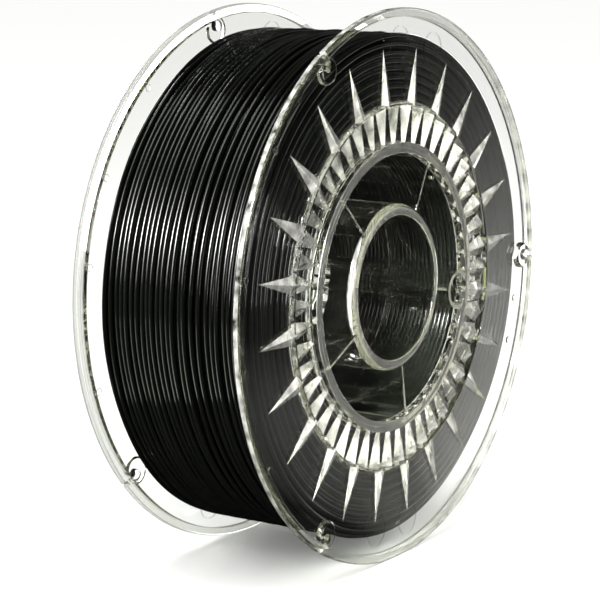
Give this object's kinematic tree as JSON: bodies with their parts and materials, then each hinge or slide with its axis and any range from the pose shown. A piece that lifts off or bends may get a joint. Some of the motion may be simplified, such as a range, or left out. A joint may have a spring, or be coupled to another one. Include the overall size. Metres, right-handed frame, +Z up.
{
  "type": "filament spool",
  "caption": "Clear moulded spool with sun-ray flanges and a spoked hub, wound full of glossy black printer filament, standing on its rims.",
  "frame": {"origin": "centre of the bore at mid-width", "axes": "+Y along the bore axis from the front half to the rear half, +Z up with the spool standing on its rims"},
  "size_m": [0.2, 0.07, 0.2],
  "materials": {
    "clear_plastic": "clear, polished moulding",
    "black_filament": "glossy extruded strand"
  },
  "bodies": {
    "root": {"front_half": "clear_plastic", "rear_half": "clear_plastic", "filament_winding": "black_filament"}
  },
  "joints": []
}
